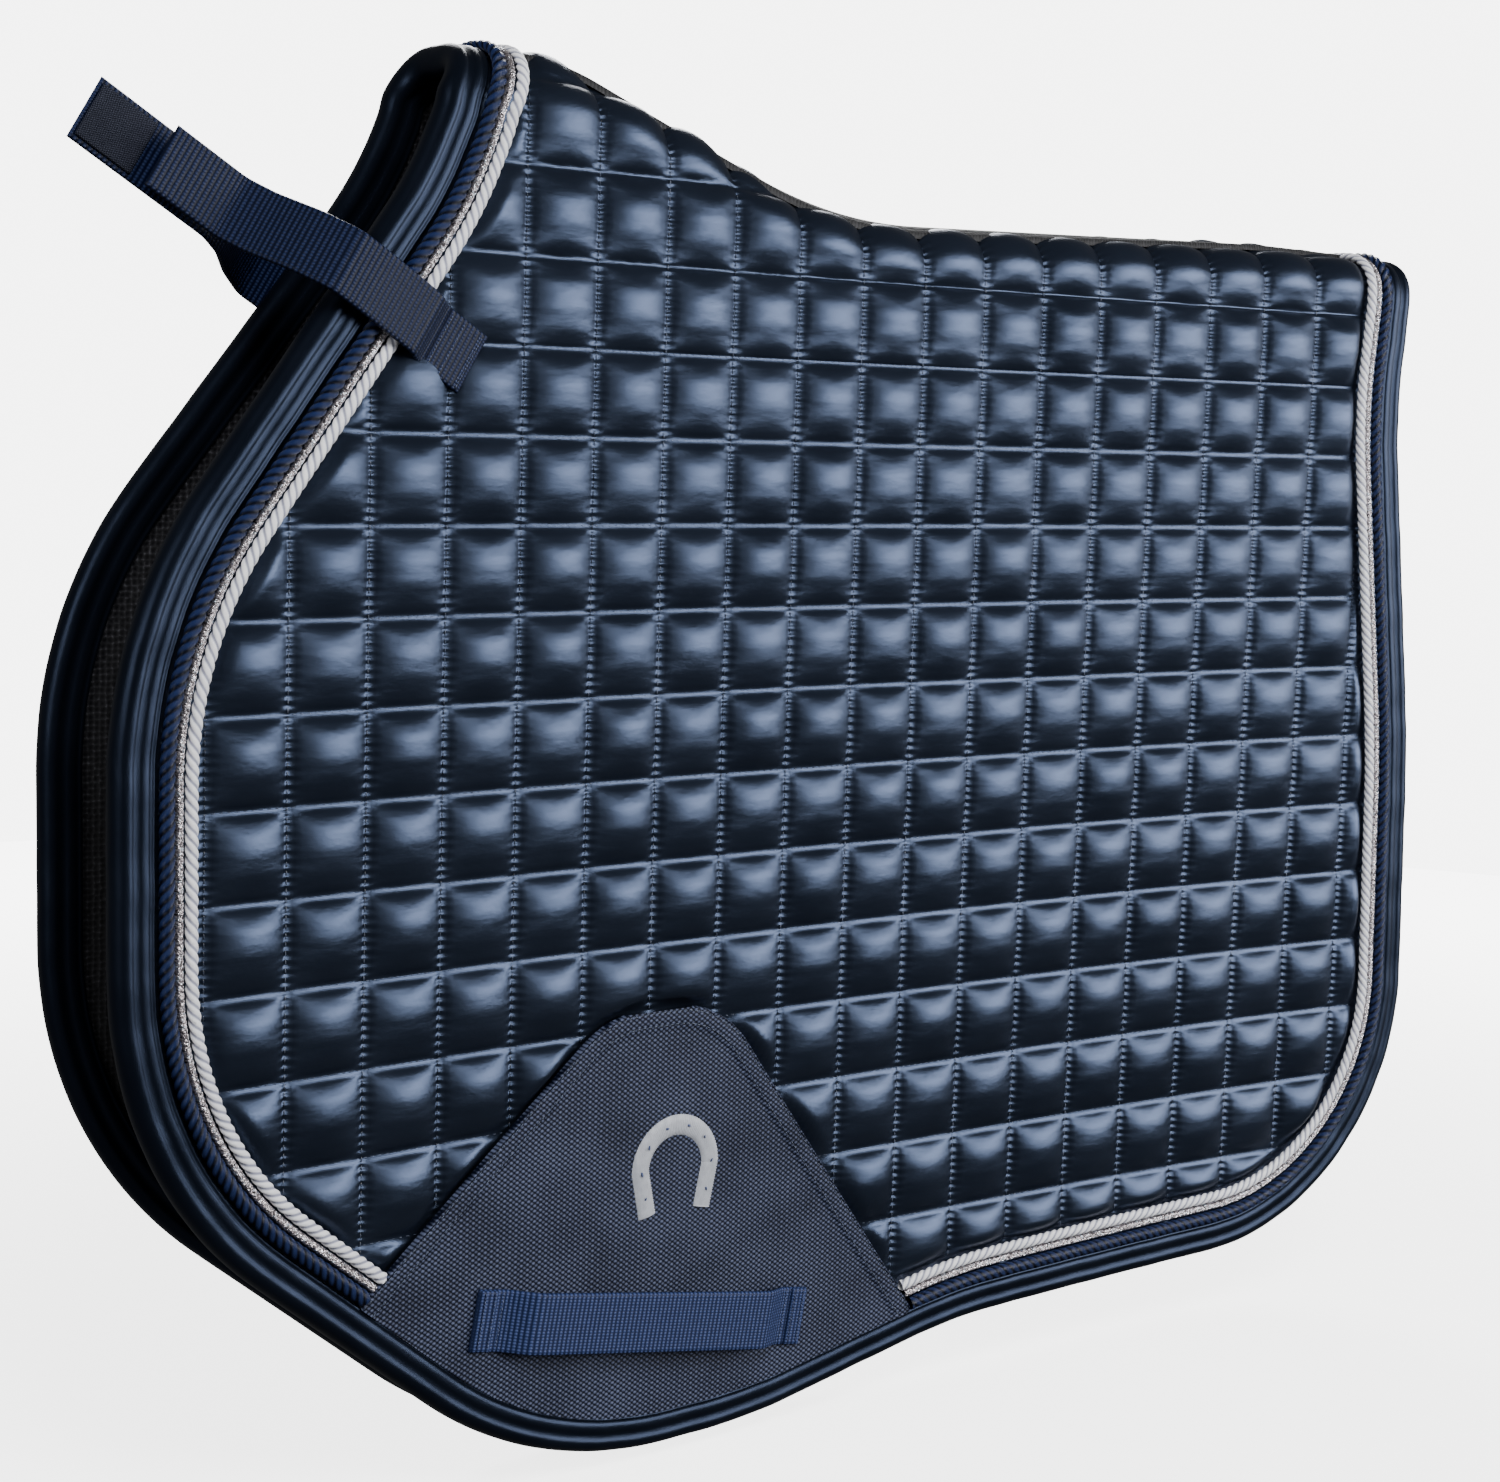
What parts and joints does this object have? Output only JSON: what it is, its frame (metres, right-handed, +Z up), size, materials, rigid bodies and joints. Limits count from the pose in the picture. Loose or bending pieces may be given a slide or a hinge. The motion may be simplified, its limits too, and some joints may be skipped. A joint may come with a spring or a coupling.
{
  "type": "saddle pad",
  "caption": "Quilted saddle pad: two satin flaps hinged on a shaped crest, with bound edges, corded trim, girth patches and loops, and billet straps.",
  "frame": {"origin": "underside of the crest above the lowest part of the horse's back, on the middle plane", "axes": "+Z up; -X towards the horse's head; -Y is the horse's left side"},
  "size_m": [0.716, 0.0814, 0.5788],
  "materials": {
    "navy_satin": "quilted satin with a soft sheen",
    "foam_wadding": "open foam, matte",
    "black_mesh": "air mesh, matte",
    "spine_mesh": "air mesh, matte",
    "binding_satin": "satin",
    "navy_rope": "twisted, satin",
    "glitter_braid": "metallic, sparkling",
    "white_rope": "twisted, satin",
    "nylon_patch": "basket weave, low sheen",
    "silver_thread": "embroidery thread, satin",
    "loop_webbing": "ribbed webbing, satin",
    "strap_webbing": "ribbed webbing, satin",
    "hook_tape": "hook and loop pile, matte"
  },
  "bodies": {
    "crest": {"crest_cover": "navy_satin", "crest_wadding": "foam_wadding", "crest_lining": "black_mesh", "crest_front_binding": "binding_satin", "crest_rear_binding": "binding_satin", "spine_strip": "spine_mesh"},
    "left_flap": {"left_satin_panel": "navy_satin", "left_wadding": "foam_wadding", "left_mesh_lining": "black_mesh", "left_edge_binding": "binding_satin", "left_front_navy_cord": "navy_rope", "left_rear_navy_cord": "navy_rope", "left_front_glitter_braid": "glitter_braid", "left_rear_glitter_braid": "glitter_braid", "left_front_white_cord": "white_rope", "left_rear_white_cord": "white_rope", "left_girth_patch": "nylon_patch", "left_horseshoe_motif": "silver_thread", "left_girth_loop": "loop_webbing", "left_billet_anchor": "strap_webbing"},
    "right_flap": {"right_satin_panel": "navy_satin", "right_wadding": "foam_wadding", "right_mesh_lining": "black_mesh", "right_edge_binding": "binding_satin", "right_front_navy_cord": "navy_rope", "right_rear_navy_cord": "navy_rope", "right_front_glitter_braid": "glitter_braid", "right_rear_glitter_braid": "glitter_braid", "right_front_white_cord": "white_rope", "right_rear_white_cord": "white_rope", "right_girth_patch": "nylon_patch", "right_horseshoe_motif": "silver_thread", "right_girth_loop": "loop_webbing", "right_billet_anchor": "strap_webbing"},
    "left_strap": {"left_billet_strap": "strap_webbing", "left_billet_tape": "hook_tape"},
    "right_strap": {"right_billet_strap": "strap_webbing", "right_billet_tape": "hook_tape"}
  },
  "joints": [
    {"name": "left_flap_hinge", "type": "hinge", "parent": "crest", "child": "left_flap", "pos_m": [0.005, -0.02139, 0.0105], "axis": [-0.9945, 0.0179, 0.1035], "range_deg": [-0.9, 30]},
    {"name": "right_flap_hinge", "type": "hinge", "parent": "crest", "child": "right_flap", "pos_m": [0.005, 0.02139, 0.0105], "axis": [0.9945, 0.0179, -0.1035], "range_deg": [-0.9, 30]},
    {"name": "left_strap_hinge", "type": "hinge", "parent": "left_flap", "child": "left_strap", "pos_m": [-0.27912, -0.03089, -0.04771], "axis": [0.515, 0, 0.8572], "range_deg": [0, 120]},
    {"name": "right_strap_hinge", "type": "hinge", "parent": "right_flap", "child": "right_strap", "pos_m": [-0.27912, 0.03089, -0.04771], "axis": [-0.515, 0, -0.8572], "range_deg": [0, 120]}
  ]
}
